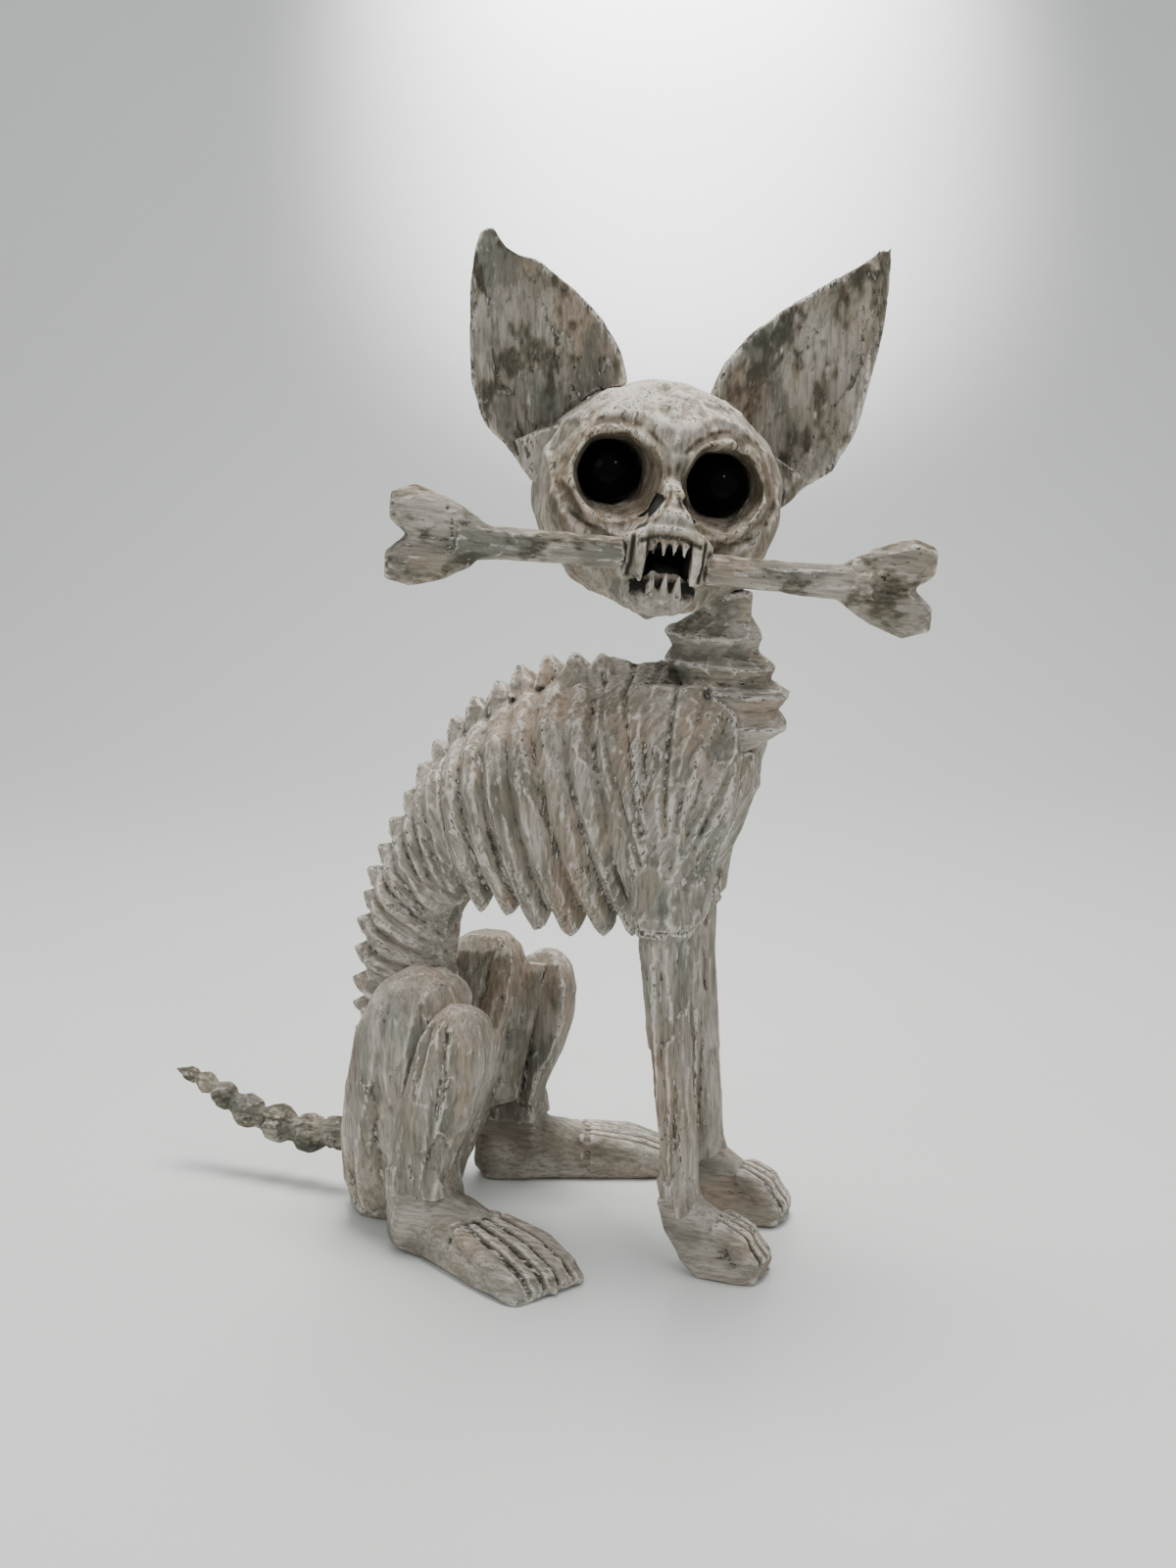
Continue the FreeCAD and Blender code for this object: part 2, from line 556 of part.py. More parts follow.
def build_head(head_pin):
    """The head with its ears, eyes and bone, placed on top of the neck."""
    jaw = make_lower_jaw()
    skull = make_skull().cut(jaw)
    ears = {"left": make_ear(0), "right": mirrored(make_ear(RIGHT_EAR_DROP))}
    half = make_bone_half()
    halves = {"left": hang_bone(half, 1, BONE_LEFT_HEIGHT, BONE_LEFT_DROOP),
              "right": hang_bone(half, -1, BONE_RIGHT_HEIGHT, BONE_RIGHT_DROOP)}
    eyes = {}
    jaw_pins, ear_pins, bone_pins = [], [], []
    for side, sign, bone_height in (("right", -1, BONE_RIGHT_HEIGHT), ("left", 1, BONE_LEFT_HEIGHT)):
        eye_middle = V(EYE_FORWARD, sign * EYE_SIDE, EYE_HEIGHT)
        eyes[side] = Part.makeSphere(EYE_RADIUS, eye_middle)
        skull = skull.cut(Part.makeSphere(EYE_RADIUS + DOWEL_FIT, eye_middle))
        ears[side] = largest(ears[side].cut(skull))
        halves[side] = largest(halves[side].cut(skull).cut(jaw))
        jaw_pins.append(dowel(V(48, sign * 12, JAW_GAP_BOTTOM), (0, 0, 1), SMALL_DOWEL, 22))
        ear_pins.append(dowel(V(-20, sign * 60, 33), (0, sign * 0.65, 0.75), SMALL_DOWEL, 24))
        bone_pins.append(dowel(V(BONE_FORWARD, sign * 27, bone_height), (0, 1, 0), SMALL_DOWEL, 26))
        ears[side] = drill(ears[side], ear_pins[-1:])
        halves[side] = drill(halves[side], bone_pins[-1:])
    skull = drill(skull, jaw_pins + ear_pins + bone_pins)
    jaw = drill(jaw, jaw_pins)

    x, y = NECK_AXIS
    seat = SEAM_HEIGHT + SEAM_GAP
    boss = skin([oval(V(x, y, seat), ATLAS_RADIUS - 1, ATLAS_RADIUS - 1),
                 oval(V(x, y, seat + 11), ATLAS_RADIUS, ATLAS_RADIUS),
                 oval(V(x - 4, y, seat + 30), ATLAS_RADIUS - 6, ATLAS_RADIUS - 6)])
    atlas_room = Part.makeCylinder(ATLAS_RADIUS + 1.5, ATLAS_HEIGHT, V(x, y, seat - ATLAS_HEIGHT))
    neck_top = seat - ATLAS_HEIGHT
    neck_room = Part.makeCylinder(NECK_SWING_RADIUS, 42, V(x, y, neck_top - 42))
    swing = atlas_room.fuse(neck_room)
    skull = on_head(skull).fuse(boss).cut(swing)
    nodes = {"skull": drill(skull, [head_pin]),
             "lower_jaw": largest(on_head(jaw).cut(swing)),
             "jaw_dowels": on_head(group(jaw_pins)),
             "ear_dowels": on_head(group(ear_pins)),
             "bone_dowels": on_head(group(bone_pins))}
    for side in ("right", "left"):
        nodes[side + "_ear"] = on_head(ears[side])
        nodes[side + "_eye"] = on_head(eyes[side])
        nodes["bone_" + side + "_half"] = on_head(halves[side])
    return nodes


def main():
    os.makedirs("parts", exist_ok=True)
    nodes, head_pin = build_body()
    nodes.update(build_head(head_pin))
    for name, shape in nodes.items():
        shape.exportStep(os.path.join("parts", name + ".step"))


main()
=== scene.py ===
"""Whitewashed wooden skeleton dog: carved meshes over the CAD frame, materials, light, camera."""
import json
import math
import bmesh
import bpy
import numpy as np
from mathutils import Matrix, Vector, kdtree


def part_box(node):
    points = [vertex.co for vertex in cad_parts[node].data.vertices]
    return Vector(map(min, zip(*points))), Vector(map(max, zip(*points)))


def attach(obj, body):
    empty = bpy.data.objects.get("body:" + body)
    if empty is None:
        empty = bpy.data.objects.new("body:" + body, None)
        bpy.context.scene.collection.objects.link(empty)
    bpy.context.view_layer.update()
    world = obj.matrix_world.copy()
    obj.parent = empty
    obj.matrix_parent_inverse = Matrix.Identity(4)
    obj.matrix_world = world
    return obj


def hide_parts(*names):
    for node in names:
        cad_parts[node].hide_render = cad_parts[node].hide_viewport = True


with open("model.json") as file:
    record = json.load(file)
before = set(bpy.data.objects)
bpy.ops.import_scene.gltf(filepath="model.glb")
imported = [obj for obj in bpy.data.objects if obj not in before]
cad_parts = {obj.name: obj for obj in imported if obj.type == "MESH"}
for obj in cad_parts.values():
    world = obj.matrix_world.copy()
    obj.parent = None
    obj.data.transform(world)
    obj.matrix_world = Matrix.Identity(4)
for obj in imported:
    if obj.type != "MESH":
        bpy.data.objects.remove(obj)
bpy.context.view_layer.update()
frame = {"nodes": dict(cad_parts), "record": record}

MM = 0.001
SEED = 7
VOXEL = 1.35                # mesh size of the carved pieces, in mm
FINE_VOXEL = 1.1            # for the skull and jaw
SMOOTHING = 0.6             # how far one round moves a point towards its neighbours' mean
VIEW_TURN = math.radians(20)    # of the camera and the backdrop, about the upright


# ---------------------------------------------------------------- numbers over points

def lattice_noise(points, seed):
    """Smooth noise from -1 to 1 at each point; one cell of it is one unit wide."""
    cell = np.floor(points).astype(np.int64)
    share = points - cell
    share = share * share * (3 - 2 * share)
    total = np.zeros(len(points))
    for corner in range(8):
        step = np.array([corner & 1, corner >> 1 & 1, corner >> 2 & 1])
        key = (cell + step) @ np.array([374761393, 668265263, 2147483629]) + seed * 974634777
        key = (key ^ (key >> 13)) * 1274126177 & 0xFFFFFFFF
        value = (key ^ (key >> 16)) / 0xFFFFFFFF * 2 - 1
        weight = np.prod(np.where(step, share, 1 - share), axis=1)
        total += value * weight
    return total


def bump(distance, width):
    """1 at no distance, falling smoothly to 0 at the width."""
    inside = np.clip(1 - (distance / width) ** 2, 0, 1)
    return inside * inside


def path_distance(points, path):
    """How far each point is from a line through the path's corners."""
    best = np.full(len(points), 1e9)
    for start, end in zip(path[:-1], path[1:]):
        along = end - start
        share = np.clip((points - start) @ along / max(along @ along, 1e-9), 0, 1)
        gap = np.linalg.norm(points - start - share[:, None] * along, axis=1)
        best = np.minimum(best, gap)
    return best


# ---------------------------------------------------------------- a piece while it is carved

class Carving:
    """A dense closed mesh made from a CAD node, in mm, with the tools that shape it."""

    def __init__(self, node, grain, voxel=VOXEL, base=None, soften=0):
        """The shapes that base adds are softened with the CAD node."""
        self.node = node
        self.rng = np.random.default_rng(SEED + sum(map(ord, node)))
        self.low, self.high = box_mm(node)
        self.grain = grain
        self.take(*remeshed(frame["nodes"][node].data, voxel, base))
        self.voxel = voxel
        self.relax(soften)

    def join(self, additions):
        """Grows added shapes, such as toes or teeth, out of the carved surface."""
        mesh = bpy.data.meshes.new("carved")
        mesh.from_pydata(self.points * MM, [], self.quads.tolist())
        self.take(*remeshed(mesh, self.voxel, additions))
        bpy.data.meshes.remove(mesh)
        self.relax(1)

    def take(self, points, quads):
        """Starts from these points and quads."""
        self.points = points
        self.quads = quads
        pairs = np.concatenate([quads[:, [i, (i + 1) % 4]] for i in range(4)])
        self.edges = np.unique(np.sort(pairs, axis=1), axis=0)
        self.soot_and_shade = np.zeros(len(points))

    def at(self, x, y, z):
        """A place in the node's box, each number from 0 to 1."""
        return self.low + (self.high - self.low) * np.array([x, y, z])

    def average(self, values):
        """Each point's mean over its neighbours."""
        a, b = self.edges.T
        count = len(self.points)
        degree = np.bincount(a, minlength=count) + np.bincount(b, minlength=count)
        columns = []
        for column in values.reshape(count, -1).T:
            total = np.bincount(a, column[b], count) + np.bincount(b, column[a], count)
            columns.append(total / np.maximum(degree, 1))
        return np.stack(columns, axis=1).reshape(values.shape)

    def smoothed(self, rounds):
        """Where the points would be after some rounds of smoothing."""
        points = self.points
        for _ in range(rounds):
            points = points + SMOOTHING * (self.average(points) - points)
        return points

    def relax(self, rounds):
        self.points = self.smoothed(rounds)

    def normals(self):
        corners = self.points[self.quads]
        across = np.cross(corners[:, 2] - corners[:, 0], corners[:, 3] - corners[:, 1])
        count = len(self.points)
        total = np.zeros((count, 3))
        for i in range(4):
            for axis in range(3):
                total[:, axis] += np.bincount(self.quads[:, i], across[:, axis], count)
        return total / np.maximum(np.linalg.norm(total, axis=1), 1e-9)[:, None]

    def raise_by(self, heights):
        self.points = self.points + self.normals() * heights[:, None]

    def darken(self, soot_and_shade):
        """Leaves at least this much darkening at each point, for stains and for painted shade."""
        self.soot_and_shade = np.maximum(self.soot_and_shade, soot_and_shade)

    def stroke(self, path, width, height, flat, on_head=False, soot_and_shade=0.0):
        """Raises, or cuts where height is negative, a band along a path.

        The path is seen along the axis flat, and its place there is free. With on_head, the
        path and the axis are in the head's frame.
        """
        normals = self.normals()
        if on_head:
            points = on_face(self.points)
            facing = normals @ HEAD_AXES[flat] * 2 - 0.3
        else:
            points = self.points
            facing = normals[:, flat] if flat == 2 else np.abs(normals[:, flat])
            facing = facing * 2.5 + 0.1
        points = np.delete(points, flat, axis=1)
        path = [np.delete(np.array(corner, float), flat) for corner in path]
        shape = bump(path_distance(points, path), width) * np.clip(facing, 0, 1)
        self.points = self.points + normals * (shape * height)[:, None]
        self.darken(shape * soot_and_shade)

    def chisel(self, size, depth=0.9, strength=0.75):
        """Flattens patches of about this size, longer along the grain, as a flat chisel does."""
        space = self.grain(self.points) * np.array([1, 1, 0.45])
        normals = self.normals()
        corners = self.points[self.quads]
        across = np.cross(corners[:, 2] - corners[:, 0], corners[:, 3] - corners[:, 1])
        area = np.linalg.norm(across, axis=1).sum() / 2
        count = max(12, int(area * 0.45 / size ** 2))
        seeds = self.rng.choice(len(self.points), count, replace=False)
        tree = kdtree.KDTree(count)
        for i, seed in enumerate(seeds):
            tree.insert(space[seed], i)
        tree.balance()
        nearest = seeds[[tree.find(place)[1] for place in space]]
        plane = normals[nearest]
        off = np.einsum("ij,ij->i", self.points - self.points[nearest], plane)
        same_side = np.einsum("ij,ij->i", normals, plane) > 0.55
        off = np.clip(off, -depth, depth) * strength * same_side
        self.points = self.points - plane * off[:, None]
        self.relax(1)

    def exaggerate(self, amount, rounds=14, limit=1.6):
        """Deepens the hollows and lifts the ridges that are already there."""
        relief = np.einsum("ij,ij->i", self.points - self.smoothed(rounds), self.normals())
        self.raise_by(np.clip(relief * amount, -limit, limit))

    def gouge(self, depth):
        """Shallow tool marks that run with the grain."""
        space = self.grain(self.points)
        number = int(self.rng.integers(1000))
        broad = lattice_noise(space / np.array([9, 9, 34]), number)
        narrow = lattice_noise(space / np.array([2.6, 2.6, 17]), number + 1)
        chips = lattice_noise(space / np.array([3.5, 3.5, 8]), number + 2)
        chips = np.clip(chips - 0.45, 0, 1) * -2.2
        self.raise_by(depth * (0.8 * broad - 0.55 * np.abs(narrow) + 0.6 * chips))

    def stains(self, size, most):
        """Ragged patches of dirt of about this size, longer along the grain; from 0 to most."""
        space = self.grain(self.points) / np.array([size, size, size * 2])
        patches = (lattice_noise(space, SEED) + 0.6 * lattice_noise(space * 2.6, SEED + 1)
                   + 0.5 * lattice_noise(space * 5.2, SEED + 2))
        return np.clip(0.62 * patches - 0.02, 0, most)

    def finish(self, material, body, slot, dust_and_top_light=0.0):
        """Turns the carving into a Blender piece that replaces its CAD node; its upward faces get
        paler paint as painted top light.
        """
        self.points[:, 2] = np.maximum(self.points[:, 2], 0)
        fine = self.points - self.average(self.points)
        broad = self.points - self.smoothed(9)
        normals = self.normals()
        wear = np.einsum("ij,ij->i", fine * 1.6 + broad, normals)
        wear = wear - 0.8 * np.median(wear)
        # Painted top light: upward-facing surfaces are made paler, as if lit from above.
        wear = wear + dust_and_top_light * np.clip(normals[:, 2], 0, 1)
        mesh = bpy.data.meshes.new(self.node)
        mesh.from_pydata(self.points * MM, [], self.quads.tolist())
        mesh.polygons.foreach_set("use_smooth", np.ones(len(self.quads), bool))
        space = self.grain(self.points) + self.rng.uniform(-500, 500, 3)
        add_attribute(mesh, "grain", "FLOAT_VECTOR", space * MM)
        add_attribute(mesh, "wear", "FLOAT", np.clip(wear / 1.4, -1, 1))
        add_attribute(mesh, "soot_and_shade", "FLOAT", np.clip(self.soot_and_shade, 0, 1))
        mesh.materials.append(material)
        piece = bpy.data.objects.new(self.node + "_carved", mesh)
        bpy.context.scene.collection.objects.link(piece)
        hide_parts(self.node)
        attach(piece, body)
        return piece


def box_mm(node):
    """The low and the high corner of a CAD node's box, in mm."""
    return [np.array(corner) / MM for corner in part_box(node)]


def side_sign(side):
    """1 on the left, where Y grows, and -1 on the right."""
    return 1 if side == "left" else -1


def node_points(node):
    """The corners of a CAD node, in mm."""
    vertices = frame["nodes"][node].data.vertices
    places = np.zeros(len(vertices) * 3)
    vertices.foreach_get("co", places)
    return places.reshape(-1, 3) / MM


def add_attribute(mesh, name, kind, values):
    attribute = mesh.attributes.new(name, kind, "POINT")
    key = "vector" if kind == "FLOAT_VECTOR" else "value"
    attribute.data.foreach_set(key, np.asarray(values, np.float32).ravel())


def remeshed(source, voxel, additions=None):
    """A mesh and any added shapes as one even skin: its points in mm, and its quads."""
    shape = bmesh.new()
    shape.from_mesh(source)
    if additions:
        additions(shape)
    mesh = bpy.data.meshes.new("rough")
    shape.to_mesh(mesh)
    shape.free()
    rough = bpy.data.objects.new("rough", mesh)
    bpy.context.scene.collection.objects.link(rough)
    grid = rough.modifiers.new("grid", "REMESH")
    grid.mode = "VOXEL"
    grid.voxel_size = voxel * MM
    even = rough.evaluated_get(bpy.context.evaluated_depsgraph_get()).to_mesh()
    points = np.zeros(len(even.vertices) * 3, np.float32)
    even.vertices.foreach_get("co", points)
    corners = np.zeros(len(even.loops), np.int32)
    even.loops.foreach_get("vertex_index", corners)
    bpy.data.objects.remove(rough)
    bpy.data.meshes.remove(mesh)
    return points.reshape(-1, 3).astype(float) / MM, corners.reshape(-1, 4)


def add_ball(shape, centre, radii, turn=None):
    """A stretched ball, in mm, joined to a shape before it is remeshed."""
    place = Matrix.Translation(Vector(centre) * MM)
    place = place @ (turn or Matrix.Identity(4)) @ Matrix.Diagonal((*[r * MM for r in radii], 1))
    bmesh.ops.create_icosphere(shape, subdivisions=3, radius=1, matrix=place)


def add_cone(shape, start, end, start_radius, end_radius):
    """A round cone with rounded ends, in mm."""
    start, end = Vector(start), Vector(end)
    turn = (end - start).to_track_quat("Z", "Y").to_matrix().to_4x4()
    place = Matrix.Translation((start + end) / 2 * MM) @ turn
    bmesh.ops.create_cone(shape, cap_ends=True, segments=14, radius1=start_radius * MM,
                          radius2=end_radius * MM, depth=(end - start).length * MM, matrix=place)
    add_ball(shape, start, [start_radius] * 3)
    add_ball(shape, end, [max(end_radius, 0.4)] * 3)


def add_block(shape, corners):
    """The convex block around some corners, in mm."""
    corners = [shape.verts.new(Vector(corner) * MM) for corner in corners]
    bmesh.ops.convex_hull(shape, input=corners)


# ---------------------------------------------------------------- grain directions

def upright_grain(points):
    """Along Z: legs, shoulders and ears are carved from upright wood."""
    return points


def level_grain(points):
    """Along X: the feet and the tail."""
    return points[:, [1, 2, 0]]


def trunk_grain(points):
    """Along each rib: round a point under the bent back, and out from it."""
    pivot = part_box("waist")[1]
    x = points[:, 0] - (pivot.x / MM + 60)
    z = points[:, 2] - 128
    out = np.hypot(x, z)
    return np.stack([np.arctan2(z, -x) * 150, points[:, 1], out], axis=1)


def ring_grain(points):
    """Round the neck."""
    centre = middle("neck")
    x = points[:, 0] - centre[0]
    y = points[:, 1] - centre[1]
    return np.stack([np.hypot(x, y), points[:, 2], np.arctan2(y, x) * 35], axis=1)


# ---------------------------------------------------------------- head frame, from the eyes

def middle(node):
    low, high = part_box(node)
    return np.array(low + high) / MM / 2


LEFT_EYE = middle("left_eye")
RIGHT_EYE = middle("right_eye")
SIDE = (LEFT_EYE - RIGHT_EYE) / np.linalg.norm(LEFT_EYE - RIGHT_EYE)
AHEAD = np.cross(SIDE, [0, 0, 1])
AHEAD = AHEAD / np.linalg.norm(AHEAD)
RISE = np.cross(AHEAD, SIDE)
EYE_LINE = (LEFT_EYE + RIGHT_EYE) / 2
HEAD_AXES = np.stack([AHEAD, SIDE, RISE])
EYE_SIDE = np.linalg.norm(LEFT_EYE - RIGHT_EYE) / 2


def head(ahead, side, up):
    """A place on the head in mm from the middle of the eye line."""
    return EYE_LINE + np.array([ahead, side, up]) @ HEAD_AXES


def on_face(points):
    return (points - EYE_LINE) @ HEAD_AXES.T


def skull_grain(points):
    return on_face(points)[:, [1, 0, 2]]


def bone_grain(points):
    return on_face(points)[:, [0, 2, 1]]


# ---------------------------------------------------------------- materials

def new_material(name):
    """An empty node material, and the function that adds nodes and links to it."""
    material = bpy.data.materials.new(name)
    material.use_nodes = True
    tree = material.node_tree
    tree.nodes.clear()

    def add(kind, inputs=(), **settings):
        node = tree.nodes.new("ShaderNode" + kind)
        for key, value in settings.items():
            setattr(node, key, value)
        for key, value in dict(inputs).items():
            if isinstance(value, bpy.types.NodeSocket):
                tree.links.new(value, node.inputs[key])
            else:
                node.inputs[key].default_value = value
        return node
    return material, add


def add_surface(add, inputs):
    shader = add("BsdfPrincipled", inputs)
    add("OutputMaterial", {"Surface": shader.outputs[0]})


def mix(add, share, first, second, blend="MIX"):
    node = add("Mix", data_type="RGBA", blend_type=blend)
    set_input(node, 0, share)
    set_input(node, 6, first)
    set_input(node, 7, second)
    return node.outputs[2]


def set_input(node, key, value):
    if isinstance(value, bpy.types.NodeSocket):
        node.id_data.links.new(value, node.inputs[key])
    elif isinstance(value, (tuple, list)):
        node.inputs[key].default_value = (*value, 1)
    else:
        node.inputs[key].default_value = value


def ramp(add, value, low, high):
    """0 under low, 1 over high."""
    return add("MapRange", {"Value": value, "From Min": low, "From Max": high},
               interpolation_type="SMOOTHSTEP").outputs[0]


def math_node(add, operation, first, second):
    return add("Math", {0: first, 1: second}, operation=operation).outputs[0]


def stretched_noise(add, grain, scale, across, detail=4.0, roughness=0.6, shift=0.0):
    """Noise stretched along the grain; scale is in features per metre across it."""
    mapped = add("Mapping", {"Vector": grain, "Location": (shift, shift, shift),
                             "Scale": (scale, scale, scale / across)})
    noise = add("TexNoise", {"Vector": mapped.outputs[0], "Scale": 1.0, "Detail": detail,
                             "Roughness": roughness})
    return noise.outputs["Fac"]


def whitewash(name, dirt=0.0):
    """Worn, streaked whitewash over dark wood: pale on the ridges and, as painted top light, on
    upward faces; dark in cuts, bald patches, stains and painted shade.

    dirt, from 0 to 1, gives more bald patches and darker stains.
    """
    material, add = new_material(name)
    grain = add("Attribute", attribute_name="grain").outputs["Vector"]
    wear = add("Attribute", attribute_name="wear").outputs["Fac"]
    soot_and_shade = add("Attribute", attribute_name="soot_and_shade").outputs["Fac"]

    clouds = stretched_noise(add, grain, 38, 2.6, 3)
    tints = stretched_noise(add, grain, 26, 2.2, 2, shift=3.1)
    patches = stretched_noise(add, grain, 64, 3.4, 7, 0.70, shift=7.7)
    streaks = stretched_noise(add, grain, 400, 9, 5, 0.7, shift=1.3)
    hairs = stretched_noise(add, grain, 1100, 14, 3, 0.7, shift=5.9)
    cracks = stretched_noise(add, grain, 300, 4, 8, 0.75, shift=9.2)
    specks = stretched_noise(add, grain, 640, 2.6, 6, 0.75, shift=12.4)

    paint = mix(add, ramp(add, clouds, 0.38, 0.62), (0.315, 0.275, 0.225), (0.50, 0.455, 0.395))
    pink = math_node(add, "MULTIPLY", ramp(add, tints, 0.52, 0.66), 0.75)
    paint = mix(add, pink, paint, (0.40, 0.305, 0.23))
    grey = math_node(add, "SUBTRACT", 1.0, ramp(add, tints, 0.32, 0.46))
    paint = mix(add, math_node(add, "MULTIPLY", grey, 0.7), paint, (0.25, 0.255, 0.215))
    stains = stretched_noise(add, grain, 30, 2.0, 6, 0.62, shift=21.0)
    stained = math_node(add, "MULTIPLY", ramp(add, stains, 0.53 - 0.05 * dirt, 0.64 - 0.05 * dirt),
                        0.62 + 0.15 * dirt)
    paint = mix(add, stained, paint, (0.145, 0.150, 0.122))
    fine = math_node(add, "ADD", math_node(add, "MULTIPLY", streaks, 0.7),
                     math_node(add, "MULTIPLY", hairs, 0.3))
    worn = mix(add, 0.6, paint, (0.095, 0.085, 0.065))
    paint = mix(add, ramp(add, fine, 0.37, 0.58), worn, paint)
    # Pale paint on the ridges, and on upward faces as painted top light.
    ridge = math_node(add, "ADD", math_node(add, "MULTIPLY", wear, 0.8),
                      math_node(add, "MULTIPLY", streaks, 0.6))
    paint = mix(add, math_node(add, "MULTIPLY", ramp(add, ridge, 0.40, 0.80), 0.85), paint,
                (0.76, 0.705, 0.63))
    pit = ramp(add, math_node(add, "MULTIPLY", wear, -1.0), 0.08, 0.75)
    paint = mix(add, math_node(add, "MULTIPLY", pit, 0.72), paint, (0.12, 0.11, 0.085))

    # Tint that the soot mark multiplies in, for stains and for painted shade in the mouth,
    # nostrils and deep sockets.
    stain_and_shade_tint = (0.50, 0.485, 0.43) if dirt else (0.54, 0.48, 0.39)
    paint = mix(add, ramp(add, soot_and_shade, 0.0, 0.38), paint, stain_and_shade_tint, "MULTIPLY")

    rough = math_node(add, "ADD", math_node(add, "ABSOLUTE", wear, 0.0),
                      math_node(add, "MULTIPLY", math_node(add, "SUBTRACT", patches, 0.5), 2.4))
    rough = ramp(add, rough, 0.12, 0.85)
    bare = math_node(add, "ADD", specks, math_node(add, "MULTIPLY", rough, 0.19))
    bald = ramp(add, bare, 0.648 - 0.025 * dirt, 0.693 - 0.025 * dirt)
    dark = mix(add, ramp(add, clouds, 0.4, 0.6), (0.030, 0.034, 0.027), (0.085, 0.075, 0.056))
    colour = mix(add, math_node(add, "MULTIPLY", bald, 0.9), paint, dark)
    flecks = math_node(add, "ADD", cracks, math_node(add, "MULTIPLY", rough, 0.15))
    flecks = ramp(add, flecks, 0.655, 0.71)
    colour = mix(add, math_node(add, "MULTIPLY", flecks, 0.8), colour, (0.66, 0.635, 0.58))
    # Near black where the soot mark is strong: painted shade inside the mouth, nostrils and deep
    # sockets, and the darkest stains.
    grime_and_shade = math_node(add, "MULTIPLY", math_node(add, "SUBTRACT", specks, 0.5), 1.4)
    grime_and_shade = ramp(add, math_node(add, "ADD", soot_and_shade, grime_and_shade), 0.34, 0.56)
    black = mix(add, ramp(add, soot_and_shade, 0.45, 0.85), (0.068, 0.066, 0.055), (0.013, 0.012, 0.010))
    colour = mix(add, grime_and_shade, colour, black)

    height = math_node(add, "ADD", math_node(add, "MULTIPLY", streaks, 0.5),
                       math_node(add, "MULTIPLY", cracks, 0.5))
    height = math_node(add, "SUBTRACT", height, math_node(add, "MULTIPLY", bald, 0.35))
    normal = add("Bump", {"Strength": 0.55, "Distance": 0.0012, "Height": height}).outputs[0]
    gloss = math_node(add, "ADD", math_node(add, "MULTIPLY", bald, -0.18), 0.82)
    add_surface(add, {"Base Color": colour, "Roughness": gloss, "Normal": normal,
                      "Specular IOR Level": 0.2})
    return material


def black_gloss():
    """Eyes: black glass with a faint haze of dust."""
    material, add = new_material("black_gloss")
    place = add("TexCoord").outputs["Object"]
    dust_and_top_light = add("TexNoise", {"Vector": place, "Scale": 900.0, "Detail": 4.0}).outputs["Fac"]
    colour = mix(add, ramp(add, dust_and_top_light, 0.62, 0.80), (0.003, 0.003, 0.004), (0.015, 0.015, 0.015))
    rough = add("MapRange", {"Value": dust_and_top_light, "From Min": 0.4, "From Max": 0.8, "To Min": 0.05,
                             "To Max": 0.25}).outputs[0]
    add_surface(add, {"Base Color": colour, "Roughness": rough, "Specular IOR Level": 0.035})
    return material


def bare_dowel():
    """Turned hardwood dowel with lengthwise grain."""
    material, add = new_material("bare_dowel")
    place = add("TexCoord").outputs["Object"]
    grain = add("TexNoise", {"Vector": place, "Scale": 260.0, "Detail": 5.0}).outputs["Fac"]
    colour = mix(add, ramp(add, grain, 0.35, 0.65), (0.36, 0.24, 0.13), (0.55, 0.41, 0.26))
    normal = add("Bump", {"Strength": 0.3, "Distance": 0.0005, "Height": grain}).outputs[0]
    add_surface(add, {"Base Color": colour, "Roughness": 0.6, "Normal": normal})
    return material


def backdrop_paint():
    """Plain pale matt sheet under and behind the figure."""
    material, add = new_material("backdrop")
    add_surface(add, {"Base Color": (0.76, 0.785, 0.765, 1), "Roughness": 0.55,
                      "Specular IOR Level": 0.3})
    return material


WHITEWASH = whitewash("whitewash")
DIRTY_WHITEWASH = whitewash("dirty_whitewash", dirt=1.0)
BODY = "body"
HEAD = "head"
TAIL = "tail"
WOOD_SLOT = "whitewashed_wood"


# ---------------------------------------------------------------- trunk

def shoulder_fan(side):
    """Carved lines that fan out from an elbow over the shoulder and the first ribs."""
    low, high = box_mm("ribcage")
    blade_low, blade_high = box_mm(side + "_shoulder")
    elbow = np.array([blade_low[0] * 0.45 + blade_high[0] * 0.55, 0, blade_low[2] + 6])
    lines = []
    ends = ((0.52, 0.93), (0.61, 0.97), (0.70, 0.98), (0.80, 0.96), (0.89, 0.90), (0.96, 0.82),
            (1.0, 0.70), (1.01, 0.57), (1.0, 0.46))
    for i, (x, z) in enumerate(ends):
        top = np.array([low[0] + (high[0] - low[0]) * x, 0, low[2] + (high[2] - low[2]) * z])
        start = elbow + (top - elbow) * (0.24 + 0.12 * (i % 2))
        bend = elbow + (top - elbow) * 0.5 + np.array([-5, 0, 0]) * (1 - x)
        lines.append([start, bend, top])
    return lines


def carve_fan(piece, sides):
    for side in sides:
        sign = side_sign(side)
        before = piece.points
        for i, line in enumerate(shoulder_fan(side)):
            piece.stroke(line, 3.4 + 0.9 * (i % 3), -1.6 - 0.5 * (i % 2) - 0.3 * (i > 5), flat=1)
        other_side = piece.points[:, 1] * sign < 0
        piece.points[other_side] = before[other_side]


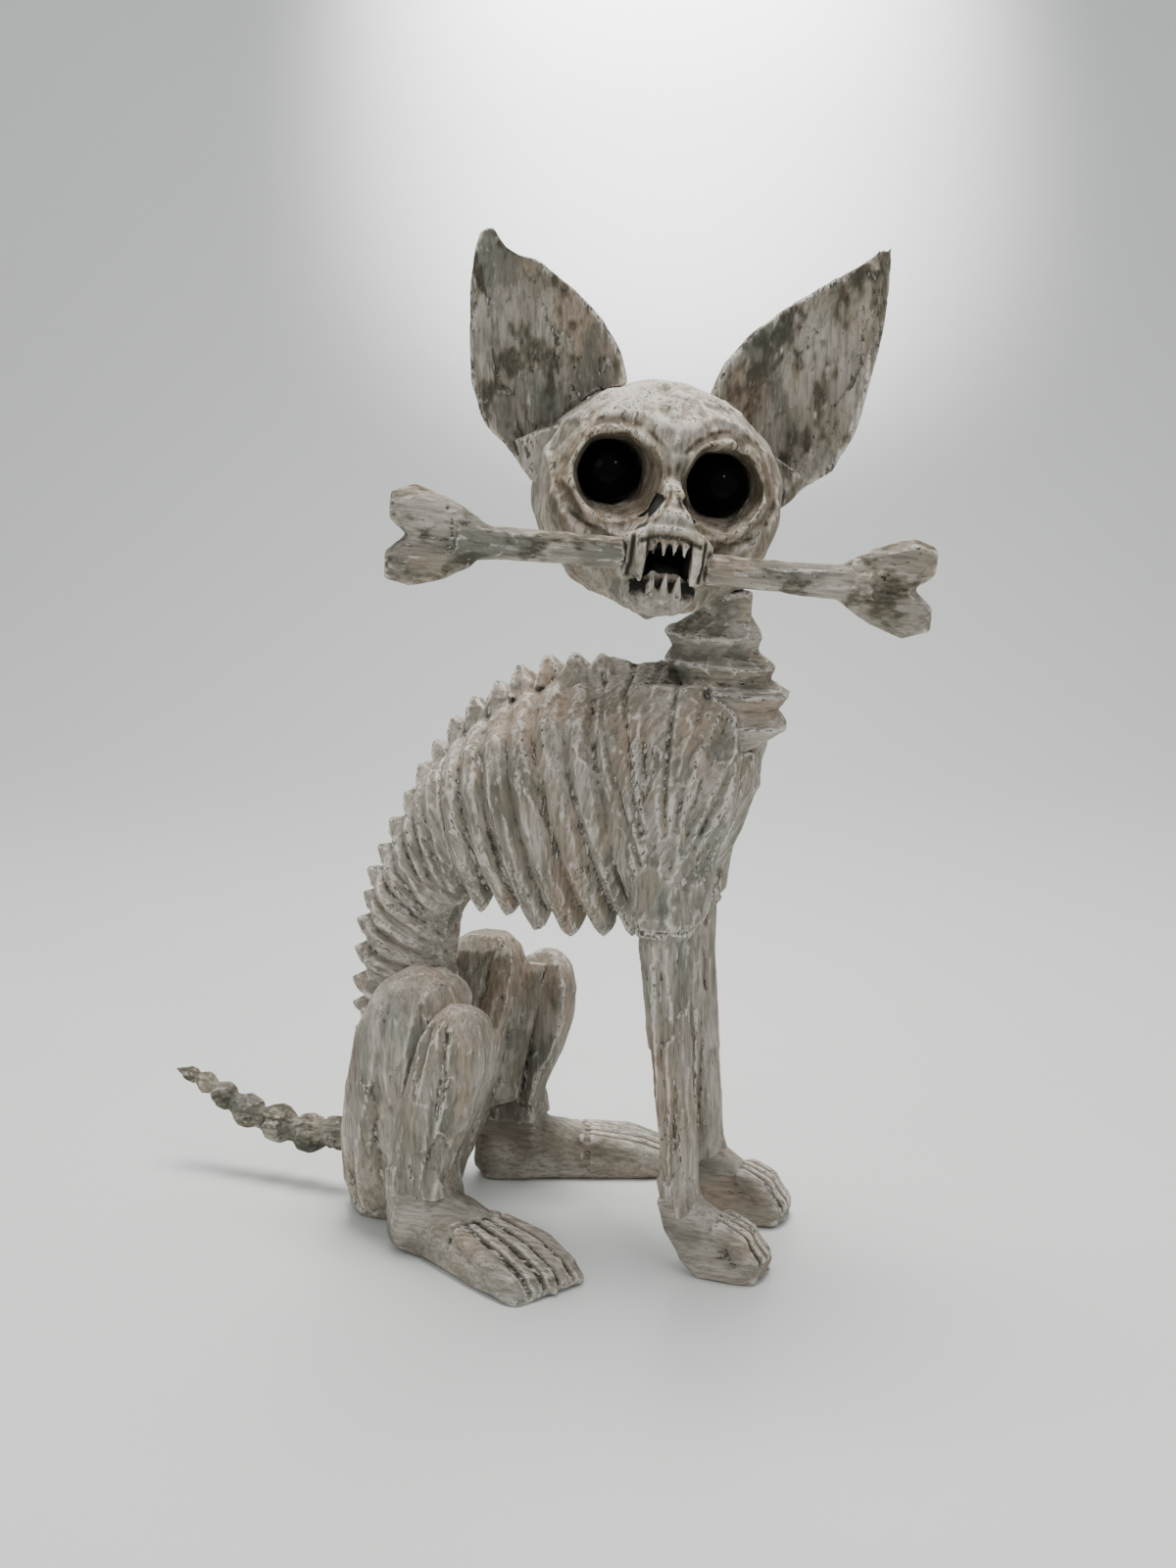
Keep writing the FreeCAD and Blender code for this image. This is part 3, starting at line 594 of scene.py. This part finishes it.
def spine_knobs(node):
    """Tip, outward direction and backward direction of each knob along the back."""
    places = node_points(node)
    places = np.unique(places[np.abs(places[:, 1]) < 0.01].round(1), axis=0)
    pivot = np.array([110, 0, 150])     # under the bent back
    inner_reach, lowest_knob = 90, 84
    places = places[np.linalg.norm(places - pivot, axis=1) > inner_reach]
    turn = np.arctan2(places[:, 2] - pivot[2], places[:, 0] - pivot[0])
    places = places[np.argsort(turn)]
    reach = np.linalg.norm(places - pivot, axis=1)
    knobs = []
    for i in range(1, len(places) - 1):
        if reach[i] > reach[i - 1] + 0.5 and reach[i] > reach[i + 1] + 0.5:
            outward = (places[i] - pivot) / reach[i]
            if places[i][2] > lowest_knob:
                knobs.append((places[i], outward, np.array([-outward[2], 0, outward[0]])))
    return knobs


def add_knobs(shape, node):
    """Pointed wedges, leaning back, over the ridge tips of the CAD shape."""
    size = 1 if node == "ribcage" else 0.8
    for tip, outward, backward in spine_knobs(node):
        lean = 2.8 * (backward[2] - backward[0]) * math.sqrt(0.5)
        corners = []
        for along, side in ((-1, -1), (-1, 1), (1, -1), (1, 1)):
            for depth, reach, half_width in ((0.2, 1.7, 2.2), (9, 7.2, 8.5), (18, 8.2, 13)):
                shift = lean if depth < 1 else 0
                aside = np.array([0, side * half_width * size, 0])
                corners.append(tip - outward * depth * size
                               + backward * (along * reach + shift) * size + aside)
        add_block(shape, corners)


def carve_trunk():
    for node in ("ribcage", "waist", "pelvis"):
        def blanks(shape):
            """The chest is cut from one block with the shoulders, so it has no seam round them."""
            if node == "ribcage":
                shape.from_mesh(frame["nodes"]["left_shoulder"].data)
                shape.from_mesh(frame["nodes"]["right_shoulder"].data)

        piece = Carving(node, trunk_grain, base=blanks, soften=3)
        piece.join(lambda shape: add_knobs(shape, node))
        if node == "ribcage":
            carve_fan(piece, ("left", "right"))
        piece.exaggerate(0.42)
        piece.chisel(9, depth=0.9, strength=0.7)
        piece.gouge(0.7)
        # Upward faces get painted top light.
        piece.finish(WHITEWASH, BODY, WOOD_SLOT, dust_and_top_light=0.2)
    neck = Carving("neck", ring_grain)
    neck.relax(3)
    neck.chisel(9, depth=0.8)
    neck.gouge(0.7)
    # Upward faces get painted top light.
    neck.finish(WHITEWASH, BODY, WOOD_SLOT, dust_and_top_light=0.35)


# ---------------------------------------------------------------- legs

def carve_shoulder(side):
    piece = Carving(side + "_shoulder", upright_grain, soften=8)
    height = (piece.points[:, 2] - piece.low[2]) / (piece.high[2] - piece.low[2])
    # Proud of the chest at the elbow and sunk into it towards the top.
    piece.raise_by(1.1 - 3.6 * np.clip(height * 1.6 - 0.12, 0, 1))
    carve_fan(piece, (side,))
    piece.chisel(9, depth=0.9)
    piece.gouge(0.7)
    piece.finish(WHITEWASH, BODY, WOOD_SLOT)


def carve_foreleg(side):
    def wrist(shape):
        low, high = box_mm(side + "_foreleg")
        x, y = low[0] * 0.32 + high[0] * 0.68, (low[1] + high[1]) / 2
        add_cone(shape, (x, y, low[2] + 6), (x + 4, y, low[2] - 10), 12, 12.4)

    leg = Carving(side + "_foreleg", upright_grain, base=wrist, soften=4)
    for height, width, rise in ((0.985, 4, 1.8), (0.95, 3, -1.0)):
        z = leg.low[2] + (leg.high[2] - leg.low[2]) * height
        leg.raise_by(rise * bump(np.abs(leg.points[:, 2] - z), width))
    for across in (0.22, 0.5, 0.78):
        lower = 0.3 + across * 0.5
        leg.stroke([leg.at(across, 0.5, 0.93), leg.at((across + lower) / 2, 0.5, 0.5),
                    leg.at(lower, 0.5, 0.08)], 3.2, -1.6, flat=1)
    leg.chisel(7, depth=1.0, strength=0.9)
    leg.gouge(0.6)
    leg.finish(WHITEWASH, BODY, WOOD_SLOT)


def carve_paw(side):
    node = side + "_front_paw"
    low, high = box_mm(node)
    size = high - low

    def line(i, share):
        """A place on toe i: its height falls from the knuckle to the claw."""
        spread = 0.17 + 0.22 * i
        y = low[1] + size[1] * (0.5 + (spread - 0.5) * (0.75 + 0.25 * share))
        reach = 1 - 0.04 * abs(i - 1.5)
        return (low[0] + size[0] * (0.56 + (reach - 0.56) * share), y)

    def toes(shape):
        for i in range(4):
            knuckle, joint, end = line(i, 0.1), line(i, 0.55), line(i, 0.86)
            add_cone(shape, (*knuckle, 29), (*joint, 22), 5.6, 6.4)
            add_cone(shape, (*joint, 20), (*end, 10.5), 6.2, 5.8)
            add_cone(shape, (*end, 7), (*line(i, 1.03), 2.4), 4.2, 1.2)

    paw = Carving(node, level_grain, soften=9)
    paw.chisel(8, depth=0.9)
    paw.gouge(0.5)
    paw.join(toes)
    paw.relax(5)
    # The grooves between the toes are darkened.
    for i in range(3):
        path = [(*line(i + 0.5, share), 0) for share in (0.05, 0.5, 1.05)]
        paw.stroke(path, 2.6, -2.6, flat=2, soot_and_shade=0.25)
    paw.gouge(0.3)
    paw.finish(WHITEWASH, BODY, WOOD_SLOT)


def carve_hind_leg(side):
    thigh = Carving(side + "_thigh", upright_grain, soften=16)
    for x, depth in ((0.16, -1.8), (0.36, -1.4), (0.58, -2.2)):
        thigh.stroke([thigh.at(x - 0.06, 0.5, 0.08), thigh.at(x - 0.02, 0.5, 0.45),
                      thigh.at(x + 0.1, 0.5, 0.88)], 5, depth, flat=1)
    thigh.chisel(11, depth=1.1, strength=0.85)
    thigh.gouge(0.7)
    thigh.finish(WHITEWASH, BODY, WOOD_SLOT)

    def ankle(shape):
        """The shin's lower end goes on into the foot, so that no gap opens at the ankle."""
        low, high = box_mm(side + "_shin")
        inner, outer = (low[1], high[1]) if side == "left" else (high[1], low[1])
        back, front = low[0] + 1.5, low[0] + 36
        ends = []
        for z in (low[2] - 14, low[2] + 4):
            grow = 3 if z < low[2] else 0
            side_face = outer * 0.98 + inner * 0.02
            corner = outer * 0.88 + inner * 0.12
            rings = [(back, inner), (back, corner), (back + 8, side_face),
                     (front + grow - 8, side_face), (front + grow, corner), (front + grow, inner)]
            ends.extend((x, y, z) for x, y in rings)
        add_block(shape, ends)

    shin = Carving(side + "_shin", upright_grain, base=ankle, soften=12)
    for low_x, high_x in ((0.22, 0.45), (0.5, 0.68)):
        shin.stroke([shin.at(low_x, 0.5, 0.0), shin.at((low_x + high_x) / 2, 0.5, 0.45),
                     shin.at(high_x, 0.5, 0.85)], 4.5, -2.0, flat=1)
    shin.chisel(9, depth=1.1, strength=0.85)
    shin.gouge(0.7)
    shin.finish(WHITEWASH, BODY, WOOD_SLOT)


def carve_hind_foot(side):
    node = side + "_hind_foot"
    low, high = box_mm(node)
    sign = side_sign(side)
    splay = math.radians(27)
    toe_gap = 11.2
    ahead = np.array([math.cos(splay), sign * math.sin(splay), 0])
    across = np.array([-sign * math.sin(splay), math.cos(splay), 0])
    outer = high[1] if side == "left" else low[1]
    toe_middle = np.array([high[0] - 29 * math.sin(splay), outer - sign * 29 * math.cos(splay), 0])

    def place(back, over, z):
        return toe_middle - ahead * back + across * over + np.array([0, 0, z])

    def toes(shape):
        for i in range(5):
            over = (i - 2) * toe_gap
            end = 2.5 * abs(i - 2)
            add_cone(shape, place(62 + end, over * 0.72, 25), place(28 + end, over, 18), 4.8, 6.0)
            add_cone(shape, place(28 + end, over, 18), place(7 + end, over, 9.5), 6.0, 5.9)
            add_cone(shape, place(7 + end, over, 6.5), place(-2 + end, over, 3.2), 4.6, 2.2)

    foot = Carving(node, level_grain, soften=14)
    foot.chisel(10, depth=1.0, strength=0.8)
    foot.gouge(0.6)
    foot.join(toes)
    foot.relax(5)
    # The grooves between the toes are darkened.
    for i in range(4):
        over = (i - 1.5) * toe_gap
        foot.stroke([place(62, over * 0.74, 0), place(36, over * 0.93, 0), place(-3, over, 0)],
                    2.5, -2.1, flat=2, soot_and_shade=0.2)
    foot.stroke([place(66, -24, 0), place(62, 0, 0), place(66, 24, 0)], 3.5, -1.4, flat=2)
    foot.gouge(0.35)
    foot.finish(WHITEWASH, BODY, WOOD_SLOT)


# ---------------------------------------------------------------- head, in mm from the eye line

def draw_on_head(piece, path, width, height, sign=1):
    """A stroke seen from the front; its path is for the left side, and sign -1 mirrors it."""
    path = [(ahead, side * sign, up) for ahead, side, up in path]
    piece.stroke(path, width, height, flat=0, on_head=True)


def face_additions(shape):
    """The nose plate, the flared lip and the cheeks."""
    add_cone(shape, head(14, 0, 2), head(46, 0, -10), 8.0, 7.8)
    add_block(shape, [head(*corner) for corner in (
        (42, -7, -8.5), (42, 7, -8.5), (54, -6.5, -13), (54, 6.5, -13), (58.5, -12.5, -26),
        (58.5, 12.5, -26), (56, -13, -29), (56, 13, -29), (40, -15, -26), (40, 15, -26))])
    lip = [(42, -24, -42), (50, -22, -33), (56, -15.5, -27.5), (59.5, -8, -25.5), (60.5, 0, -25),
           (59.5, 8, -25.5), (56, 15.5, -27.5), (50, 23, -33), (43, 26, -40)]
    for start, end in zip(lip, lip[1:]):
        add_cone(shape, head(*start), head(*end), 2.7, 2.7)
    for sign in (-1, 1):
        add_cone(shape, head(0, 40 * sign, -44), head(32, 15 * sign, -60), 15, 11)
        add_cone(shape, head(20, 26 * sign, -44), head(44, 17 * sign, -50), 13, 7)


def upper_teeth(shape):
    """Four small teeth between two long canines."""
    for i, side in enumerate((-8.7, -2.9, 2.9, 8.7)):
        add_cone(shape, head(57.5, side, -30), head(59.5, side * 0.97, -38.5 - (i % 2)), 2.7, 0.6)
    for sign in (-1, 1):
        add_cone(shape, head(58, 15.6 * sign, -31), head(61.5, 15.2 * sign, -42), 3.4, 3.0)
        add_cone(shape, head(61.5, 15.2 * sign, -42), head(59.0, 14.4 * sign, -53), 3.0, 1.6)


def carve_face_lines(skull):
    """The rims and outlines of the sockets, the cheeks, the brows and the line between them."""
    for sign in (-1, 1):
        rim = [(30, sign * (EYE_SIDE + 1) + 24.5 * math.cos(t), 24.5 * math.sin(t))
               for t in np.linspace(0, 2 * math.pi, 29)]
        draw_on_head(skull, rim, 4.5, 0.6)
        outline = [(0, sign * (EYE_SIDE + 1) + 29.5 * math.cos(t), 29.0 * math.sin(t))
                   for t in np.linspace(-0.35, 2.4, 15)]
        draw_on_head(skull, outline, 3.2, -1.8)
        cheek = [(0, 54, 22), (0, 60, 8), (0, 59, -8), (0, 49, -24), (0, 36, -33), (0, 25, -38)]
        draw_on_head(skull, cheek, 5.5, -3.4, sign)
        plate = [(0, 55, -6), (0, 45, -20), (0, 33, -28), (0, 22, -33)]
        draw_on_head(skull, plate, 4.5, 2.2, sign)
        dent = [(0, 22, -22), (0, 33, -24)]
        draw_on_head(skull, dent, 9, -2.5, sign)
        brow = [(0, 6, 30), (0, 22, 34), (0, 40, 31), (0, 54, 20)]
        draw_on_head(skull, brow, 6, 2.0, sign)
    draw_on_head(skull, [(0, 0, 50), (0, 0, 34), (0, 0, 22)], 5, 2.0)


def cut_nostrils(skull, face):
    for sign in (-1, 1):
        slit = [np.array([side * sign, up]) for side, up in ((7.2, -9.5), (10, -13), (14.5, -19))]
        hole = bump(path_distance(face[:, 1:], slit), 3.0) * (face[:, 0] > 34)
        skull.points = skull.points - AHEAD * (hole * 4.5)[:, None]
        # Painted shade in the nostril holes.
        skull.darken(np.clip(hole * 3, 0, 1))


def shade_and_stain_face(skull, face):
    """Painted shade deep in the sockets round the eyes and, with stains, on the lips; darker
    socket bowls, socket outlines and bridge; and stains.
    """
    behind_eye, socket_edge, crease_at = 19.2, 31, 30.5
    # Painted shade on the socket wall close round each eye.
    for eye in (RIGHT_EYE, LEFT_EYE):
        gap = np.linalg.norm(skull.points - eye, axis=1)
        skull.darken(np.clip((behind_eye - gap) / 2.6, 0, 1))
    grime_and_shade = lattice_noise(skull.points / 4.5, SEED)
    for sign in (-1, 1):
        gap = np.hypot(face[:, 1] - sign * (EYE_SIDE + 1), face[:, 2])
        dish = np.clip((socket_edge - gap) / 4, 0, 1) * (0.27 + 0.14 * grime_and_shade)
        crease = bump(np.abs(gap - crease_at), 2.4) * 0.62 * np.clip(0.45 + grime_and_shade, 0, 1)
        skull.darken(np.maximum(dish, crease) * (face[:, 0] > 5))
    bridge = bump(np.abs(face[:, 1]), 20) * bump(np.abs(face[:, 2] + 2), 17)
    # The lips darken partly as painted shade and partly as stain.
    lips = bump(np.abs(face[:, 2] + 30), 8) * (face[:, 0] > 40)
    skull.darken((0.2 * bridge + 0.34 * lips) * (0.8 + 0.5 * grime_and_shade))
    skull.darken(skull.stains(9, 0.22))


def blacken_mouth(skull, face):
    """Painted shade in the throat, on the gums, and in the grooves under the lip and beside the
    canines.
    """
    throat = ((np.abs(face[:, 1]) < 13.2) & (face[:, 2] < -33) & (face[:, 2] > -53)
              & (face[:, 0] < 55) & (face[:, 0] > 30))
    skull.darken(throat * 0.9)
    behind = np.clip((59.5 - face[:, 0]) / 2.5, 0, 1) * (face[:, 0] > 45)
    gums = bump(np.abs(face[:, 2] + 34), 9) * (np.abs(face[:, 1]) < 13) * behind
    skull.darken(np.clip(gums * 1.5, 0, 0.95))
    lip = [(-16, -32.5), (-8, -29.5), (0, -29), (8, -29.5), (16, -32.5)]
    lines = [([np.array(place, float) for place in lip], 2.6, 0.6)]
    for sign in (-1, 1):
        for side, width in ((11.8, 1.5), (19.6, 1.9)):
            line = [np.array([side * sign, -31.0]), np.array([side * sign, -52.0])]
            lines.append((line, width, 0.75))
    for line, width, share in lines:
        groove = bump(path_distance(face[:, 1:], line), width) * (face[:, 0] > 40)
        skull.points = skull.points - AHEAD * (groove * 1.2)[:, None]
        skull.darken(groove * share)


def carve_skull():
    skull = Carving("skull", skull_grain, voxel=FINE_VOXEL, soften=7)
    skull.join(face_additions)
    carve_face_lines(skull)
    skull.chisel(19, depth=2.2, strength=0.85)
    skull.chisel(7, depth=0.6, strength=0.6)
    skull.gouge(0.45)
    skull.join(upper_teeth)
    face = on_face(skull.points)
    cut_nostrils(skull, face)
    shade_and_stain_face(skull, face)
    blacken_mouth(skull, face)
    # The skull's upward faces get strong painted top light.
    skull.finish(WHITEWASH, HEAD, WOOD_SLOT, dust_and_top_light=0.65)


def carve_jaw():
    def teeth(shape):
        lip = [(40, -19, -57), (52, -14, -61), (57, 0, -63), (52, 14, -61), (40, 19, -57)]
        for start, end in zip(lip, lip[1:]):
            add_cone(shape, head(*start), head(*end), 3.2, 3.2)
        for side in (-7.2, 0, 7.2):
            add_cone(shape, head(57.5, side, -60), head(59.5, side, -49), 3.0, 0.7)

    def chin(shape):
        add_cone(shape, head(40, 0, -58), head(6, 0, -62), 15, 17)

    jaw = Carving("lower_jaw", skull_grain, voxel=FINE_VOXEL, base=chin, soften=10)
    face = on_face(jaw.points)
    lower = np.clip((-54 - face[:, 2]) / 20, 0, 1)
    face[:, 1] *= 1 - 0.42 * lower ** 1.5
    jaw.points = EYE_LINE + face @ HEAD_AXES
    jaw.chisel(9, depth=1.0)
    jaw.gouge(0.45)
    jaw.join(teeth)
    face = on_face(jaw.points)
    # Painted shade round the roots of the lower teeth and on the floor of the mouth.
    behind = np.clip((59 - face[:, 0]) / 2.5, 0, 1) * (face[:, 0] > 46)
    grime_and_shade = 0.75 + 0.5 * lattice_noise(jaw.points / 2.5, SEED)
    roots = bump(np.abs(face[:, 2] + 57), 7.5) * (np.abs(face[:, 1]) < 18) * behind * grime_and_shade
    floor = (np.abs(face[:, 1]) < 12) & (face[:, 2] > -54) & (face[:, 0] < 52)
    jaw.soot_and_shade = np.maximum(np.clip(roots * 1.5, 0, 0.95), floor * 0.9)
    jaw.finish(WHITEWASH, HEAD, WOOD_SLOT)


def carve_ear(side):
    sign = side_sign(side)

    def base_block(shape):
        """The glued wedge at the ear's base and, on the left ear, the splinters at its tip."""
        add_block(shape, [head(ahead, side * sign, up) for ahead, side, up in (
            (-12, 46, 30), (-6, 50, -22), (-20.6, 84, 10), (-20.6, 80, -2), (-20, 71, -11),
            (-34, 46, 30), (-34, 50, -22), (-29, 84, 10), (-29, 80, -2), (-29, 71, -11))])
        if side == "left":
            for shift, length in ((-3, 6), (0, 9), (2.5, 4), (4.5, 8)):
                start = tip + SIDE * shift + np.array([0, 0, -9])
                end = start + np.array([0, 0, 9 + length * 0.5]) + SIDE * 2
                add_cone(shape, start, end, 2.4, 0.5)

    places = node_points(side + "_ear")
    tip = places[np.argmax(places[:, 2])]
    ear = Carving(side + "_ear", upright_grain, soften=3)
    ear.join(base_block)
    ear.relax(2)
    dents = [(98, -6, 26, 8)] + [(93, 124, 20, 5.5)] * (side == "right")
    for across, up, radius, depth in dents:
        out = on_face(ear.points)[:, 1:] - np.array([across * sign, up])
        reach = np.linalg.norm(out, axis=1)
        push = depth * bump(reach, radius) / np.maximum(reach, 1)
        ear.points = ear.points + (push[:, None] * out) @ HEAD_AXES[1:]
    folds = (((0, 48, 34), (0, 76, 84), (0, 104, 128)), ((0, 72, 14), (0, 98, 50), (0, 112, 100)))
    for fold in folds:
        draw_on_head(ear, fold, 7, -1.6, sign)
    ear.chisel(12, depth=1.2, strength=0.8)
    ear.gouge(0.6)
    ear.soot_and_shade = ear.stains(12, 0.43)
    ear.finish(DIRTY_WHITEWASH, HEAD, WOOD_SLOT)


def carve_bone(side):
    bone = Carving("bone_" + side + "_half", bone_grain, soften=5)
    bone.chisel(8, depth=1.1, strength=0.9)
    bone.gouge(0.5)
    bone.soot_and_shade = bone.stains(9, 0.45)
    bone.finish(DIRTY_WHITEWASH, HEAD, WOOD_SLOT)


def carve_tail():
    tail = Carving("tail", level_grain, voxel=1.0, soften=2)
    tail.chisel(5.5, depth=1.2, strength=0.9)
    tail.gouge(0.4)
    tail.soot_and_shade = 0.16 + tail.stains(7, 0.30)
    tail.finish(DIRTY_WHITEWASH, TAIL, WOOD_SLOT)


def dress_cad_nodes():
    """Eyes and dowels keep their CAD shape."""
    finishes = {"black_glass": black_gloss(), "dowel_wood": bare_dowel()}
    for subpart in frame["record"]["subparts"]:
        finish = finishes.get(subpart["material_slot"])
        if finish:
            node = frame["nodes"][subpart["node"]]
            node.data.materials.clear()
            node.data.materials.append(finish)


# ---------------------------------------------------------------- stage, light, camera

def build_stage():
    """A floor that curves up into a backdrop."""
    front, bend, radius, top, half_width = -2.6, 1.5, 0.9, 3.4, 3.5
    steps = 12
    profile = [(front, 0), (bend, 0)]
    for i in range(1, steps + 1):
        turn = math.radians(90 * i / steps)
        profile.append((bend + radius * math.sin(turn), radius * (1 - math.cos(turn))))
    profile.append((bend + radius, top))
    ahead = Vector((-math.sin(VIEW_TURN), math.cos(VIEW_TURN), 0))
    across = Vector((math.cos(VIEW_TURN), math.sin(VIEW_TURN), 0))
    rows = []
    for depth, height in profile:
        centre = ahead * depth + Vector((0.05, 0, height))
        rows.append([centre - across * half_width, centre + across * half_width])
    corners = [tuple(corner) for row in rows for corner in row]
    faces = [(2 * i, 2 * i + 1, 2 * i + 3, 2 * i + 2) for i in range(len(rows) - 1)]
    mesh = bpy.data.meshes.new("backdrop")
    mesh.from_pydata(corners, [], faces)
    for polygon in mesh.polygons:
        polygon.use_smooth = True
    mesh.materials.append(backdrop_paint())
    sheet = bpy.data.objects.new("backdrop", mesh)
    bpy.context.scene.collection.objects.link(sheet)


def hang(light, place, target=None):
    """Puts a light in the scene, turned to its target if it has one."""
    lamp = bpy.data.objects.new(light.name, light)
    lamp.location = place
    if target:
        aim = Vector(target) - Vector(place)
        lamp.rotation_euler = aim.to_track_quat("-Z", "Y").to_euler()
    bpy.context.scene.collection.objects.link(lamp)


def add_area_light(name, place, target, size, power, colour):
    light = bpy.data.lights.new(name, "AREA")
    light.shape = "DISK"
    light.size = size
    light.energy = power
    light.color = colour
    hang(light, place, target)


def build_light():
    world = bpy.data.worlds.new("room")
    world.use_nodes = True
    world.node_tree.nodes["Background"].inputs[0].default_value = (0.95, 0.98, 1.0, 1)
    world.node_tree.nodes["Background"].inputs[1].default_value = 0.5
    bpy.context.scene.world = world
    add_area_light("overhead", (0.05, 0.25, 1.9), (0.1, 0, 0.3), 1.0, 42, (1.0, 0.98, 0.945))
    add_area_light("front_left", (-0.6, -1.7, 1.5), (0.1, 0, 0.3), 1.1, 5, (1.0, 0.98, 0.95))
    glow = bpy.data.lights.new("glow", "SPOT")
    glow.energy = 540
    glow.spot_size = math.radians(54)
    glow.spot_blend = 1.0
    glow.shadow_soft_size = 0.1
    hang(glow, (-0.38, 1.55, 2.0), (-0.61, 2.36, 1.16))
    sparkle = bpy.data.lights.new("sparkle", "POINT")
    sparkle.energy = 8
    sparkle.shadow_soft_size = 0.05
    hang(sparkle, Vector(LEFT_EYE * MM) + Vector((0.70, -0.66, 0.70)))


def build_camera():
    camera = bpy.data.cameras.new("camera")
    camera.lens = 54.1
    camera.sensor_width = 36
    holder = bpy.data.objects.new("camera", camera)
    holder.location = (0.596, -1.3074, 0.5222)
    holder.rotation_euler = (math.radians(90 - 10.07), 0, VIEW_TURN)
    bpy.context.scene.collection.objects.link(holder)
    bpy.context.scene.camera = holder


def main():
    build_camera()
    build_stage()
    build_light()
    carve_trunk()
    for side in ("right", "left"):
        carve_shoulder(side)
        carve_foreleg(side)
        carve_paw(side)
        carve_hind_leg(side)
        carve_hind_foot(side)
        carve_ear(side)
        carve_bone(side)
    carve_skull()
    carve_jaw()
    carve_tail()
    dress_cad_nodes()


main()
